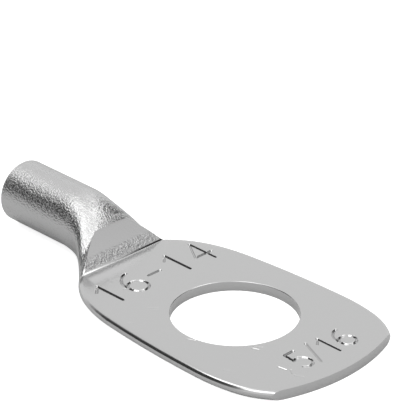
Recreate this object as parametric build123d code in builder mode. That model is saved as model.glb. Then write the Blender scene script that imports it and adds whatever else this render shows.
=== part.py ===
# Tubular cable lug, pressed from one length of copper tube, in millimetres
# The origin is the centre of the stud hole on the underside, with +X towards the tip
# The barrel lies towards -X and its lower side is flush with the underside of the palm
from build123d import *
import os
from math import cos, radians, sin, sqrt, tan

# Barrel, a plain stretch of the tube
barrel_diameter = 4.3
bore_diameter = 2.7
mouth_distance = 20.4  # from the stud hole to the open end
mouth_chamfer = 0.32
mouth_rounding = 0.12

# Palm, the flattened end
stud_hole_diameter = 8.4
hole_rounding = 0.07
palm_thickness = 0.7
palm_width = 13.66
palm_width_distance = 3.3  # where the palm is widest, beyond the hole's centre
crease_distance = 10.42  # from the hole back to the foot of the ramp
crease_width = 8.15
flare_angle = 46.0  # of the outline where it leaves the neck, from the lug's length
side_distance = 4.98  # from the hole back to where the flare runs into the long side
side_width = 12.74
shoulder_distance = 6.18  # where the long side turns in towards the corner
shoulder_width = 13.04
corner_distance = 8.58
corner_width = 10.74
tip_bulge = 1.16  # of the sheared end, beyond its corners
fold_radius = 0.345  # of the rounding along both long sides
blank_allowance = 2.2  # length sheared off beyond the tip

# Neck, between the barrel and the crease
ramp_angle = 56.8  # of the pressed ramp above the palm
neck_radius = 3.69  # of the bend from the barrel's top into the ramp
spread_distance = 13.93  # from the hole back to where the neck starts to widen
flat_start = 0.625  # share of the neck's length where the pressed flat begins
flat_power = 0.7
ridge_drop = 0.4  # how sharply the sides fall away from the flat
ridge_fade = 4  # power that the ridge softens by towards the crease
underside_power = 1.35  # power that the flat underside grows by
flat_seed = 0.01  # half width of a flat that has yet to open
neck_sections = 24
hollow_sections = 8
seam_gap = 0.1  # left where the pressed walls meet
press_step = 0.01  # step in from the round tube where the pressed stretch starts

barrel_radius = barrel_diameter / 2
bore_radius = bore_diameter / 2
wall = barrel_radius - bore_radius
half_crease = crease_width / 2
flare_slope = tan(radians(flare_angle))
side_flat = palm_thickness / 2 - fold_radius  # half height of what stays upright on the sides
quarter = 0.5523  # Bezier handle that makes a quarter of a circle

# The neck's top line is an arc from the barrel's top into a straight ramp
slope = radians(ramp_angle)
ramp_run = (barrel_diameter - palm_thickness) / tan(slope)
neck_start = -crease_distance - ramp_run - neck_radius * tan(slope / 2)
neck_length = -crease_distance - neck_start


def top_line(x, depth=0):
    """Height of the neck's top line, or of a line at a depth below it."""
    radius = neck_radius - depth
    bend_end = neck_start + radius * sin(slope)
    centre_height = barrel_diameter - neck_radius
    if x < bend_end:
        return centre_height + sqrt(radius**2 - (x - neck_start) ** 2)
    return centre_height + radius * cos(slope) - (x - bend_end) * tan(slope)


def half_width(x):
    """Half width of the neck, level with the barrel at first and in line with the flare at last."""
    length = spread_distance - crease_distance
    share = max(x + spread_distance, 0) / length
    growth = (half_crease - barrel_radius + press_step) * share**2 * (3 - 2 * share)
    return barrel_radius - press_step + growth + length * flare_slope * share**2 * (share - 1)


def pressed_section(x, half, low, high, low_flat, top_flat, drop=0):
    """Section across the pressed tube, from flats and four curved quarters."""
    middle = (low + high) / 2
    upper = middle + side_flat
    lower = middle - side_flat
    with BuildSketch(Plane.YZ.offset(x)) as section:
        with BuildLine():
            for side in (1, -1):
                Line((side * half, lower), (side * half, upper))
                Bezier(
                    (side * half, upper),
                    (side * half, upper + quarter * (high - upper)),
                    (side * (top_flat + quarter * (half - top_flat)), high - drop),
                    (side * top_flat, high),
                )
                Bezier(
                    (side * half, lower),
                    (side * half, lower - quarter * (lower - low)),
                    (side * (low_flat + quarter * (half - low_flat)), low),
                    (side * low_flat, low),
                )
            Line((-top_flat, high), (top_flat, high))
            Line((-low_flat, low), (low_flat, low))
        make_face()
    return section.sketch


def neck_section(share):
    """Outside of the neck, at a share of the way from the barrel to the crease."""
    x = neck_start + neck_length * share
    step = press_step * (1 - share)
    height = top_line(x, step)
    pressed = max(share - flat_start, 0) / (1 - flat_start)
    widest_flat = half_crease - fold_radius * sqrt(1 + flare_slope**2) - flat_seed
    top_flat = flat_seed + widest_flat * pressed**flat_power
    low_flat = flat_seed + widest_flat * share**underside_power
    drop = ridge_drop * height * sqrt(pressed) * (1 - pressed**ridge_fade)
    return pressed_section(x, half_width(x), step, height, low_flat, top_flat, drop)


def hollow_section(share):
    """Inside of the neck, at a share of the way from the bore to the closed seam."""
    x = neck_start + hollow_length * share
    half = half_width(x) - wall
    high = top_line(x, wall + press_step)
    flat = max(half - (high - wall - press_step) / 2, flat_seed)
    return pressed_section(x, half, wall + press_step, high, flat, flat)


# The flattened blank has folded, rounded sides all the way round
with BuildPart() as palm:
    with BuildSketch():
        with BuildLine():
            widest = (palm_width_distance, palm_width / 2)
            rear_side = (-side_distance, side_width / 2)
            crease = (-crease_distance, half_crease)
            shoulder = (shoulder_distance, shoulder_width / 2)
            corner = (corner_distance, corner_width / 2)
            side = TangentArc(widest, rear_side, tangent=(-1, 0))
            Spline(rear_side, crease, tangents=[side % 1, (-1, -flare_slope)])
            Spline(crease, (neck_start, 0), tangents=[(-1, -flare_slope), (0, -1)])
            turn = TangentArc(widest, shoulder, tangent=(1, 0))
            front = TangentArc(shoulder, corner, tangent=turn % 1)
            blank_end = (corner_distance + tip_bulge + blank_allowance, 0)
            Spline(corner, blank_end, tangents=[front % 1, (0, -1)])
            mirror(about=Plane.XZ)
        make_face()
    extrude(amount=palm_thickness)
    fillet(palm.edges().filter_by(Plane.XY), fold_radius)
    split(bisect_by=Plane.YZ.offset(-crease_distance), keep=Keep.TOP)
    # The tip is sheared off by a round punch
    shear_radius = ((corner_width / 2) ** 2 + tip_bulge**2) / (2 * tip_bulge)
    with BuildSketch():
        with Locations((corner_distance + tip_bulge - shear_radius, 0)):
            Circle(shear_radius)
    extrude(amount=palm_thickness, mode=Mode.INTERSECT)

palm_end = palm.faces().filter_by(Plane.YZ)[0]

# The bore runs on into the neck and closes where the pressed walls meet
pressed_radius = neck_radius - wall
closing_height = barrel_diameter - neck_radius + pressed_radius * cos(slope) - wall - seam_gap
hollow_length = pressed_radius * sin(slope) + closing_height / tan(slope)
with BuildPart() as hollow:
    with BuildSketch(Plane.YZ.offset(-mouth_distance)):
        with Locations((0, barrel_radius)):
            Circle(bore_radius)
    extrude(amount=mouth_distance + neck_start)
    loft([hollow_section(number / hollow_sections) for number in range(hollow_sections + 1)])

with BuildPart() as cable_lug:
    with BuildSketch(Plane.YZ.offset(-mouth_distance)):
        with Locations((0, barrel_radius)):
            Circle(barrel_radius)
    extrude(amount=mouth_distance + neck_start)
    outside = [neck_section(number / neck_sections) for number in range(neck_sections)]
    loft(outside + [palm_end])
    add(palm.part)
    add(hollow.part, mode=Mode.SUBTRACT)
    Hole(stud_hole_diameter / 2)
    fillet(cable_lug.edges(Select.LAST).sort_by(Axis.Z)[-1], hole_rounding)
    rims = cable_lug.edges().filter_by(GeomType.CIRCLE)
    outer_rim, inner_rim = rims.group_by(Axis.X)[0].sort_by(SortBy.RADIUS, reverse=True)
    chamfer(inner_rim, mouth_chamfer)
    outer_rim = cable_lug.edges().filter_by(GeomType.CIRCLE).group_by(Axis.X)[0]
    fillet(outer_rim.sort_by(SortBy.RADIUS)[-1], mouth_rounding)

cable_lug.part.label = "cable_lug"

os.makedirs("parts", exist_ok=True)
export_step(cable_lug.part, "parts/cable_lug.step")
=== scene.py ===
import math
import bpy
import bmesh
import numpy as np
from mathutils import Matrix, Vector
from mathutils.geometry import delaunay_2d_cdt, intersect_point_line


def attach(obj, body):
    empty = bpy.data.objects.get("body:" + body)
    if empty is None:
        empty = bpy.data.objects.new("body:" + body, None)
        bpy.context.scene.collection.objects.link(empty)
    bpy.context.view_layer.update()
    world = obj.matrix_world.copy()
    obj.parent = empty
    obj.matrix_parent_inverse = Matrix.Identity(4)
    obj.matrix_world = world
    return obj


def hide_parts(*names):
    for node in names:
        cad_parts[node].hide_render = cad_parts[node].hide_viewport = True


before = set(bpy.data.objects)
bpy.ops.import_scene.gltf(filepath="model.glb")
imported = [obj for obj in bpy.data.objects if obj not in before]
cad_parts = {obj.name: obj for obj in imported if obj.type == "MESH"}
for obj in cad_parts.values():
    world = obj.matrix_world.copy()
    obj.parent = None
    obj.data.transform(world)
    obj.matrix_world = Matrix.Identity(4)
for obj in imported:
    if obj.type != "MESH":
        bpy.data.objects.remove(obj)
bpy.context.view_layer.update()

mm = 0.001
scene = bpy.context.scene


class Wire:
    # one output socket, wrapped so that shader maths reads as an expression
    def __init__(self, net, socket):
        self.net, self.socket = net, socket

    def maths(self, operation, first, second):
        return self.net.add("ShaderNodeMath", {"operation": operation}, [first, second])

    def __add__(self, other):
        return self.maths("ADD", self, other)

    def __radd__(self, other):
        return self.maths("ADD", other, self)

    def __sub__(self, other):
        return self.maths("SUBTRACT", self, other)

    def __rsub__(self, other):
        return self.maths("SUBTRACT", other, self)

    def __mul__(self, other):
        return self.maths("MULTIPLY", self, other)


class Net:
    # a node tree whose nodes come from one method: type, settings, then the sockets' values or links
    def __init__(self, tree):
        self.tree = tree
        tree.nodes.clear()

    def add(self, kind, settings=None, inputs=None, out=0):
        node = self.tree.nodes.new(kind)
        for name, value in (settings or {}).items():
            setattr(node, name, value)
        pairs = inputs.items() if isinstance(inputs, dict) else enumerate(inputs or [])
        for key, value in pairs:
            if isinstance(value, Wire):
                self.tree.links.new(value.socket, node.inputs[key])
            else:
                node.inputs[key].default_value = value
        return Wire(self, node.outputs[out]) if len(node.outputs) else None

    def ease(self, wire, low, high, start=0.0, end=1.0):
        # start below low and end above high, with an eased change between them
        return self.add("ShaderNodeMapRange", {"interpolation_type": "SMOOTHSTEP"},
                        {"Value": wire, "From Min": low, "From Max": high, "To Min": start, "To Max": end})

    def over(self, wire, reach, start=0.0, end=1.0):
        # the same change over a reach in mm
        return self.ease(wire, reach[0] * mm, reach[1] * mm, start, end)

    def coordinate(self, vector, axis):
        return self.add("ShaderNodeSeparateXYZ", {}, [vector], out=axis)


# tin plating over copper, tumbled before the palm was pressed flat

tin = {
    "colour": (0.52, 0.52, 0.52),
    "roughness": 0.15,
    "grainSize": 0.13,       # mm, of the tumbled barrel and neck
    "grainDepth": 0.05,      # mm
    "pressedGrain": 0.04,    # share of the grain that the pressed palm and ramp keep
    "rampFacing": (0.78, 0.83),      # share of the normal that lies along X where the ramp begins
    "rampStart": (-13.0, -12.6),     # mm
    "palmStart": (-10.72, -10.42),   # mm, up to the crease
    "speckleSize": 0.2,      # mm, of the marks above the crease
    "speckleGain": 5.0,
    "speckleFoot": (0.8, 1.0),       # mm, heights where the marks fade in
    "speckleHead": (1.0, 1.6),       # mm, heights where they fade out
}


def makeTin(name):
    material = bpy.data.materials.new(name)
    material.use_nodes = True
    net = Net(material.node_tree)
    place = net.add("ShaderNodeTexCoord", out="Object")
    x, z = net.coordinate(place, "X"), net.coordinate(place, "Z")
    flatness = net.coordinate(net.add("ShaderNodeNewGeometry", out="Normal"), "X")
    grain = net.add("ShaderNodeTexNoise", {}, {
        "Vector": place, "Scale": 1 / (tin["grainSize"] * mm), "Detail": 2.0, "Roughness": 0.6})
    ramp = net.ease(flatness, *tin["rampFacing"]) * net.over(x, tin["rampStart"])
    tumbled = net.over(x, tin["palmStart"], 1.0, 0.0) * (1 - ramp)
    keep = tumbled * (1 - tin["pressedGrain"]) + tin["pressedGrain"]
    speckle = net.add("ShaderNodeTexNoise", {}, {
        "Vector": place, "Scale": 1 / (tin["speckleSize"] * mm), "Detail": 3.0, "Roughness": 0.7})
    marked = net.over(z, tin["speckleFoot"]) * net.over(z, tin["speckleHead"], 1.0, 0.0) * ramp
    bump = net.add("ShaderNodeBump", {}, {
        "Strength": 1.0, "Distance": tin["grainDepth"] * mm,
        "Height": (grain - 0.5) * keep + (speckle - 0.5) * marked * tin["speckleGain"]})
    surface = net.add("ShaderNodeBsdfPrincipled", {}, {
        "Base Color": (*tin["colour"], 1), "Metallic": 1.0, "Roughness": tin["roughness"], "Normal": bump})
    net.add("ShaderNodeOutputMaterial", {}, {"Surface": surface})
    return material


# figures and knocks pressed into the palm, each a path that a round tool followed

stamp = {
    "halfWidth": 0.13,      # mm, of the groove that the tool leaves
    "depth": 0.12,          # mm
    "knockLift": 0.07,      # mm, of the shallow knocks' paths above the palm
    "palmTop": 0.7,         # mm
    "topTolerance": 0.0005, # mm
    "spacing": 0.03,        # mm, of the fine mesh under the figures
    "rows": (               # text, height, middle in X, start in Y and step to the next sign, in mm
        ("16-14", 2.5, -7.5, -4.75, 2.02),
        ("5/16", 2.0, 7.0, -1.9, 1.3),
    ),
}


def arc(x, y, wide, high, start, end, steps=14):
    turns = [math.radians(start + (end - start) * step / steps) for step in range(steps + 1)]
    return [(x + wide * math.cos(turn), y + high * math.sin(turn)) for turn in turns]


strokes = {                  # paths of each sign, as shares of its height, across and up
    "1": [[(0.08, 0.76), (0.32, 1.0), (0.32, 0.0)]],
    "4": [[(0.44, 0.0), (0.44, 1.0), (0.02, 0.33), (0.62, 0.33)]],
    "5": [[(0.54, 1.0), (0.14, 1.0), (0.1, 0.55)] + arc(0.29, 0.31, 0.27, 0.31, 130, -140)],
    "6": [arc(0.62, 0.42, 0.58, 0.58, 100, 180) + arc(0.32, 0.28, 0.28, 0.28, 180, 520, 20)],
    "-": [[(0.08, 0.5), (0.5, 0.5)]],
    "/": [[(0.05, -0.05), (0.5, 1.05)]],
}
knocks = (                   # mm
    ((-4.3, -3.5), (-3.95, -3.1)), ((-4.0, -3.55), (-3.75, -3.2)), ((3.85, -2.15), (4.3, -1.9)),
    ((3.95, -2.4), (4.35, -2.25)), ((6.7, -2.9), (7.3, -2.8)), ((7.5, -2.6), (7.9, -2.85)),
    ((8.2, -2.9), (8.6, -2.65)), ((-3.75, -5.75), (-3.6, -5.6)), ((4.65, -5.55), (4.85, -5.4)),
    ((0.3, -4.5), (0.75, -4.3)), ((-2.5, 4.9), (-2.2, 4.6)), ((-7.25, -2.9), (-7.2, -2.5)),
)


def pathLines():
    lines = []
    for text, height, middle, start, step in stamp["rows"]:
        for place, sign in enumerate(text):
            lines += [[(middle + height * (0.5 - v), start + step * place + height * u) for u, v in path]
                      for path in strokes[sign]]
    return lines


def makePaths():
    data = bpy.data.curves.new("stampPaths", "CURVE")
    data.dimensions = "3D"
    for lines, lift in ((pathLines(), 0), (knocks, stamp["knockLift"])):
        for line in lines:
            spline = data.splines.new("POLY")
            spline.points.add(len(line) - 1)
            for point, (x, y) in zip(spline.points, line):
                point.co = (x * mm, y * mm, (stamp["palmTop"] + lift) * mm, 1)
    paths = bpy.data.objects.new("stampPaths", data)
    scene.collection.objects.link(paths)
    return paths


def finePoints():
    # grid points close enough to a path to lie in its groove
    step, reach = stamp["spacing"], stamp["halfWidth"] + 2 * stamp["spacing"]
    found = set()
    for line in (*pathLines(), *knocks):
        for start, end in zip(line, line[1:]):
            first, last = Vector(start), Vector(end)
            lows = [math.floor((min(pair) - reach) / step) for pair in zip(start, end)]
            highs = [math.ceil((max(pair) + reach) / step) for pair in zip(start, end)]
            for across in range(lows[0], highs[0] + 1):
                for along in range(lows[1], highs[1] + 1):
                    point = Vector((across * step, along * step))
                    near, share = intersect_point_line(point, first, last)
                    near = first.lerp(last, min(max(share, 0), 1))
                    if (point - near.to_2d()).length < reach:
                        found.add((across, along))
    return [Vector((across * step, along * step)) for across, along in sorted(found)]


def refineTop(shape):
    # the palm's flat top is triangulated again with fine points where the figures go
    top = stamp["palmTop"] * mm
    shape.normal_update()
    near = stamp["topTolerance"] * mm
    level = [face for face in shape.faces
             if face.normal.z > 0 and all(abs(vert.co.z - top) < near for vert in face.verts)]
    among = set(level)
    rim = [edge for edge in shape.edges if sum(face in among for face in edge.link_faces) == 1]
    bmesh.ops.delete(shape, geom=level, context="FACES_KEEP_BOUNDARY")
    corners = list(dict.fromkeys(vert for edge in rim for vert in edge.verts))
    number = {vert: place for place, vert in enumerate(corners)}
    points = [vert.co.to_2d() / mm for vert in corners] + finePoints()
    sides = [(number[edge.verts[0]], number[edge.verts[1]]) for edge in rim]
    everything, merging = 0, 0.0001      # all triangles are asked for, and points this near are one, in mm
    spots, _, triangles, sources, _, _ = delaunay_2d_cdt(points, sides, [], everything, merging, True)
    verts = []
    for spot, source in zip(spots, sources):
        old = [place for place in source if place < len(corners)]
        verts.append(corners[old[0]] if old else shape.verts.new((spot.x * mm, spot.y * mm, top)))
    x0, y0, x1, y1 = np.array([(*points[first], *points[last]) for first, last in sides]).T
    rise = np.where(y1 == y0, 1, y1 - y0)
    for triangle in triangles:
        x, y = sum((spots[place] for place in triangle), Vector((0, 0))) / 3
        crossed = ((y0 > y) != (y1 > y)) & (x < (x1 - x0) * (y - y0) / rise + x0)
        if crossed.sum() % 2:
            shape.faces.new([verts[place] for place in triangle])
    bmesh.ops.delete(shape, geom=[vert for vert in shape.verts if not vert.link_faces], context="VERTS")


def makeStampTree(material):
    tree = bpy.data.node_groups.new("pressedFigures", "GeometryNodeTree")
    net = Net(tree)
    face = tree.interface
    face.new_socket("Geometry", in_out="INPUT", socket_type="NodeSocketGeometry")
    inputs = {}
    for name, kind in (("Paths", "NodeSocketObject"), ("Half width", "NodeSocketFloat"),
                       ("Depth", "NodeSocketFloat"), ("Top", "NodeSocketFloat")):
        inputs[name] = face.new_socket(name, in_out="INPUT", socket_type=kind)
    face.new_socket("Geometry", in_out="OUTPUT", socket_type="NodeSocketGeometry")
    entry = tree.nodes.new("NodeGroupInput")
    given = {socket.name: Wire(net, socket) for socket in entry.outputs}
    paths = net.add("GeometryNodeObjectInfo", {"transform_space": "RELATIVE"},
                    {"Object": given["Paths"]}, out="Geometry")
    lines = net.add("GeometryNodeCurveToMesh", {}, [paths])
    away = net.add("GeometryNodeProximity", {"target_element": "EDGES"}, [lines], out="Distance")
    groove = net.ease(away, 0.0, given["Half width"], 1.0, 0.0) * given["Depth"]
    height = net.coordinate(net.add("GeometryNodeInputPosition"), "Z")
    onTop = net.add("FunctionNodeCompare", {"operation": "GREATER_THAN"}, {"A": height, "B": given["Top"]})
    offset = net.add("ShaderNodeCombineXYZ", {}, {"Z": 0 - groove})
    pressed = net.add("GeometryNodeSetPosition", {}, {
        "Geometry": given["Geometry"], "Selection": onTop, "Offset": offset})
    solid = net.add("GeometryNodeRealizeInstances", {}, [pressed])
    dressed = net.add("GeometryNodeSetMaterial", {}, {"Geometry": solid, "Material": material})
    net.add("NodeGroupOutput", {}, [dressed])
    return tree, inputs


# the neck is drawn again with the free shape that the press gives its sides

neck = {
    "tube": 4.3,             # mm, like the other sizes, and as in the solid
    "palm": 0.7,
    "crease": -10.42,
    "creaseHalf": 4.075,
    "angle": 56.8,           # degrees
    "bend": 3.69,
    "spread": -13.75,
    "flare": 46.0,           # degrees
    "fold": 0.345,
    "seed": 0.01,            # half width of a flat that has yet to open
    "flatStart": 0.625,      # share of the neck's length
    "flatPower": 0.6,
    "underPower": 1.35,
    "ridgeFall": 0.9,        # how far the sides fall away from the flat
    "ridgeFade": 24,
    "sideSink": 0.25,        # share of the height that the widest line sinks by
    "sinkPower": 3,
    "sinkFade": 30,
    "creaseRounding": 0.04,
    "handle": 0.5523,        # of a Bezier curve that makes a quarter of a circle
    "rings": 96,
    "ringPower": 1.35,       # crowds the rings towards the crease
    "steps": 14,
}


def eased(share):
    return share ** 2 * (3 - 2 * share)


def topLine(x, start):
    slope = math.radians(neck["angle"])
    bend, middle = neck["bend"], neck["tube"] - neck["bend"]
    if x < start + bend * math.sin(slope):
        high = middle + math.sqrt(bend ** 2 - (x - start) ** 2)
    else:
        high = middle + bend * math.cos(slope) - (x - start - bend * math.sin(slope)) * math.tan(slope)
    climb = max(high - neck["palm"], 0)
    rounding = neck["creaseRounding"]
    return high - rounding * (1 - math.exp(-climb / rounding)) * math.exp(-climb)


def halfWidth(x):
    flare = math.tan(math.radians(neck["flare"]))
    length = neck["crease"] - neck["spread"]
    share = max(x - neck["spread"], 0) / length
    growth = (neck["creaseHalf"] - neck["tube"] / 2) * eased(share)
    return neck["tube"] / 2 + growth + length * flare * share ** 2 * (share - 1)


def neckRing(share, start):
    # one ring of the neck's outside, from the top round by the far side, the bottom and the near side
    x = start + (neck["crease"] - start) * share
    high, half = topLine(x, start), halfWidth(x)
    pressed = max(share - neck["flatStart"], 0) / (1 - neck["flatStart"])
    flare = math.tan(math.radians(neck["flare"]))
    widest = neck["creaseHalf"] - neck["fold"] * math.sqrt(1 + flare ** 2) - neck["seed"]
    flat = neck["seed"] + widest * pressed ** neck["flatPower"]
    under = neck["seed"] + widest * share ** neck["underPower"]
    lean = neck["seed"] + widest * eased(pressed)
    fall = neck["ridgeFall"] * pressed * (1 - pressed ** neck["ridgeFade"])
    sink = neck["sideSink"] * share ** neck["sinkPower"] * (1 - share ** neck["sinkFade"])
    side = high * (0.5 - sink)
    upright = neck["palm"] / 2 - neck["fold"]
    upper, lower = side + upright, side - upright
    meeting = high - fall * (high - upper)
    handle = neck["handle"]
    top = [(flat, high), (lean + handle * (half - lean), high + handle * (meeting - high)),
           (half, upper + handle * (meeting - upper)), (half, upper)]
    bottom = [(half, lower), (half, lower * (1 - handle)), (under + handle * (half - under), 0), (under, 0)]
    points = [(0, high)]
    for corners in (top, bottom):
        for number in range(neck["steps"] + 1):
            t = number / neck["steps"]
            weights = ((1 - t) ** 3, 3 * t * (1 - t) ** 2, 3 * t ** 2 * (1 - t), t ** 3)
            points.append(tuple(sum(w * c[axis] for w, c in zip(weights, corners)) for axis in (0, 1)))
    points.append((0, 0))
    points += [(-y, z) for y, z in reversed(points[1:-1])]
    return [(x * mm, y * mm, z * mm) for y, z in points]


def stitch(shape, ring, edges):
    # triangles between a ring and the rim that it meets, which has its own number of points
    beside = {}
    for edge in edges:
        for vert in edge.verts:
            beside.setdefault(vert, []).append(edge.other_vert(vert))
    rim = [edges[0].verts[0], edges[0].verts[1]]
    while len(rim) < len(beside):
        rim.append(next(vert for vert in beside[rim[-1]] if vert != rim[-2]))
    turns = [sum(a.co.y * b.co.z - b.co.y * a.co.z for a, b in zip(verts, verts[1:] + verts[:1]))
             for verts in (ring, rim)]
    if turns[0] * turns[1] < 0:
        rim.reverse()
    nearest = min(range(len(rim)), key=lambda number: (rim[number].co - ring[0].co).length)
    rim = rim[nearest:] + rim[:nearest]
    first, second = ring + ring[:1], rim + rim[:1]
    i = j = 0
    while i < len(ring) or j < len(rim):
        along = i < len(ring)
        if along and j < len(rim):
            along = (first[i + 1].co - second[j].co).length <= (second[j + 1].co - first[i].co).length
        if along:
            shape.faces.new((first[i], first[i + 1], second[j]))
            i += 1
        else:
            shape.faces.new((first[i], second[j + 1], second[j]))
            j += 1


def redrawNeck(shape):
    slope = math.radians(neck["angle"])
    run = (neck["tube"] - neck["palm"]) / math.tan(slope)
    start = neck["crease"] - run - neck["bend"] * math.tan(slope / 2)
    near = stamp["topTolerance"] * mm
    low, high = start * mm - near, neck["crease"] * mm + near
    among = {face for face in shape.faces if all(low < vert.co.x < high for vert in face.verts)}
    waiting = [face for face in among if any(vert.co.x > high - 2 * near for vert in face.verts)]
    old = set(waiting)
    while waiting:
        face = waiting.pop()
        beside = {other for edge in face.edges for other in edge.link_faces} & among - old
        old |= beside
        waiting += beside
    bmesh.ops.delete(shape, geom=[face for face in shape.faces if face in old], context="FACES")
    ends = [edge for edge in shape.edges if edge.is_boundary]
    shares = [1 - (1 - number / neck["rings"]) ** neck["ringPower"] for number in range(1, neck["rings"])]
    rings = [[shape.verts.new(point) for point in neckRing(share, start)] for share in shares]
    for first, second in zip(rings, rings[1:]):
        for a, b, c, d in zip(first, first[1:] + first[:1], second[1:] + second[:1], second):
            shape.faces.new((a, b, c, d))
    for ring, place in ((rings[0], start), (rings[-1], neck["crease"])):
        stitch(shape, ring, [edge for edge in ends if all(abs(vert.co.x - place * mm) < near for vert in edge.verts)])
    bmesh.ops.recalc_face_normals(shape, faces=shape.faces)


lug = {
    "welded": 0.0001,        # mm
    "dissolved": 0.0002,     # mm
    "smoothAngle": 32.0,     # degrees
    "levelLimits": (0.9999, 0.96),   # upright share of the normal, on the palm's faces and past their rims
    "rimLength": 0.05,       # mm, shortest edge of the palm's rims
}


def makeLug(material):
    shape = bmesh.new()
    shape.from_mesh(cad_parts["cable_lug"].data)
    bmesh.ops.remove_doubles(shape, verts=shape.verts, dist=lug["welded"] * mm)
    bmesh.ops.dissolve_degenerate(shape, edges=shape.edges, dist=lug["dissolved"] * mm)
    refineTop(shape)
    redrawNeck(shape)
    loose = [edge for edge in shape.edges if not edge.is_manifold]
    volume = round(shape.calc_volume(signed=True) / mm ** 3, 2)
    print("lug", volume, "mm3", len(shape.verts), "vertices", len(shape.faces), "faces", len(loose), "open edges")
    mesh = bpy.data.meshes.new("cableLug")
    shape.to_mesh(mesh)
    shape.free()
    piece = bpy.data.objects.new("cableLug", mesh)
    scene.collection.objects.link(piece)
    mesh.materials.append(material)
    paths = makePaths()
    tree, inputs = makeStampTree(material)
    figures = piece.modifiers.new("pressedFigures", "NODES")
    figures.node_group = tree
    figures[inputs["Paths"].identifier] = paths
    figures[inputs["Half width"].identifier] = stamp["halfWidth"] * mm
    figures[inputs["Depth"].identifier] = stamp["depth"] * mm
    figures[inputs["Top"].identifier] = (stamp["palmTop"] - stamp["topTolerance"]) * mm
    graph = bpy.context.evaluated_depsgraph_get()
    stamped = bpy.data.meshes.new_from_object(piece.evaluated_get(graph), depsgraph=graph)
    piece.modifiers.remove(figures)
    piece.data = stamped
    bpy.data.objects.remove(paths)
    shape = bmesh.new()
    shape.from_mesh(stamped)
    level, tilted = lug["levelLimits"]
    for face in shape.faces:
        face.smooth = True
    for edge in shape.edges:
        rises = [abs(face.normal.z) for face in edge.link_faces]
        rim = max(rises) > level and min(rises) < tilted and edge.calc_length() > lug["rimLength"] * mm
        edge.smooth = not rim and edge.calc_face_angle(0) < math.radians(lug["smoothAngle"])
    shape.to_mesh(stamped)
    shape.free()
    weight = piece.modifiers.new("weight", "WEIGHTED_NORMAL")
    weight.keep_sharp = True
    print("stamped", len(stamped.vertices), "vertices", len(stamped.polygons), "faces")
    return piece


tinned = makeTin("tinPlating")
cableLug = makeLug(tinned)
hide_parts("cable_lug")
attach(cableLug, "root")

# a white studio with soft panels and dark flags, which only the metal sees

studio = {
    "floorHalf": 1.2,        # m
    "floorColour": 0.8,
    "floorSeen": 0.74,      # glow that brings the lit floor up to white
    "daylight": 0.85,
    "lampPower": 0.5,
    "lampSize": 0.6,
    "lampPlace": (-0.1, -0.1, 0.7),
}
panels = (                   # azimuth from +X, elevation, inner and outer radius in degrees, brightness
    ("overhead", 0, 90, 12, 40, 1.1),
    ("frontLeftFlag", -131, 24, 17, 45, 0.06),
    ("backRightFlag", 74, 30, 13, 35, 0.05),
    ("leftPanel", -148, 60, 6, 16, 3.2),
    ("rightPanel", 38, 60, 8, 20, 3.0),
    ("frontPanel", -78, 58, 8, 24, 3.2),
    ("creasePanel", 105, 49, 5, 18, 1.8),
)


def makeFloor():
    half = studio["floorHalf"]
    mesh = bpy.data.meshes.new("floor")
    mesh.from_pydata([(-half, -half, 0), (half, -half, 0), (half, half, 0), (-half, half, 0)], [], [(0, 1, 2, 3)])
    floor = bpy.data.objects.new("floor", mesh)
    scene.collection.objects.link(floor)
    material = bpy.data.materials.new("floorPaper")
    material.use_nodes = True
    net = Net(material.node_tree)
    seen = net.add("ShaderNodeLightPath", out="Is Camera Ray")
    surface = net.add("ShaderNodeBsdfPrincipled", {}, {
        "Base Color": (*[studio["floorColour"]] * 3, 1), "Roughness": 1.0, "Specular IOR Level": 0.0,
        "Emission Color": (1, 1, 1, 1), "Emission Strength": seen * studio["floorSeen"]})
    net.add("ShaderNodeOutputMaterial", {}, {"Surface": surface})
    mesh.materials.append(material)


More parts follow.
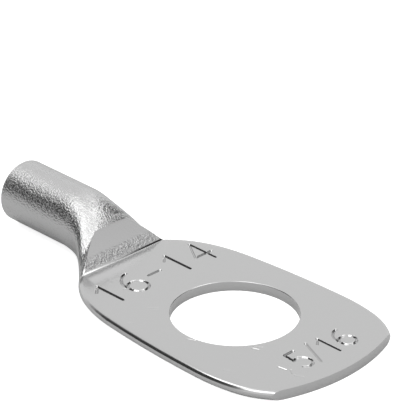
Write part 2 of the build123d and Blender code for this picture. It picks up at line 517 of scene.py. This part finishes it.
def makeWorld():
    world = bpy.data.worlds.new("studio")
    scene.world = world
    world.use_nodes = True
    net = Net(world.node_tree)
    way = net.add("ShaderNodeTexCoord", out="Generated")
    seen = 1.0
    for name, azimuth, elevation, inner, outer, brightness in panels:
        turn, rise = math.radians(azimuth), math.radians(elevation)
        middle = (math.cos(turn) * math.cos(rise), math.sin(turn) * math.cos(rise), math.sin(rise))
        nearness = net.add("ShaderNodeVectorMath", {"operation": "DOT_PRODUCT"}, [way, middle], out="Value")
        angle = net.add("ShaderNodeMath", {"operation": "ARCCOSINE"}, [nearness])
        mask = net.ease(angle, math.radians(inner), math.radians(outer), 1.0, 0.0)
        seen = seen + mask * (brightness - seen)
    camera = net.add("ShaderNodeLightPath", out="Is Camera Ray")
    glossy = net.add("ShaderNodeLightPath", out="Is Glossy Ray")
    strength = camera + glossy * seen + (1 - camera) * (1 - glossy) * studio["daylight"]
    backdrop = net.add("ShaderNodeBackground", {}, {"Color": (1, 1, 1, 1), "Strength": strength})
    net.add("ShaderNodeOutputWorld", {}, {"Surface": backdrop})


def makeLamp():
    light = bpy.data.lights.new("softbox", "AREA")
    light.energy, light.size, light.shape = studio["lampPower"], studio["lampSize"], "DISK"
    lamp = bpy.data.objects.new("softbox", light)
    scene.collection.objects.link(lamp)
    lamp.location = studio["lampPlace"]
    lamp.rotation_euler = Vector(studio["lampPlace"]).to_track_quat("Z", "Y").to_euler()
    lamp.visible_glossy = False


makeFloor()
makeWorld()
makeLamp()
print("studio made")

view = {
    "azimuth": 45.663,
    "elevation": 27.105,
    "distance": 200.0,       # mm
    "target": (-13.827, 10.387, 0.0),
    "focal": 2879.0,         # pixels
    "frame": (400, 401),
}


def makeCamera():
    data = bpy.data.cameras.new("camera")
    data.sensor_width = 36.0
    data.lens = view["focal"] * data.sensor_width / max(view["frame"])
    data.clip_start, data.clip_end = 0.01, 10.0
    camera = bpy.data.objects.new("camera", data)
    scene.collection.objects.link(camera)
    turn, rise = math.radians(view["azimuth"]), math.radians(view["elevation"])
    back = Vector((math.sin(turn) * math.cos(rise), -math.cos(turn) * math.cos(rise), math.sin(rise)))
    right = Vector((math.cos(turn), math.sin(turn), 0))
    up = back.cross(right)
    place = (Vector(view["target"]) + back * view["distance"]) * mm
    camera.matrix_world = Matrix.Translation(place) @ Matrix((right, up, back)).transposed().to_4x4()
    scene.camera = camera


makeCamera()
scene.view_settings.view_transform = "Standard"
print("camera made")
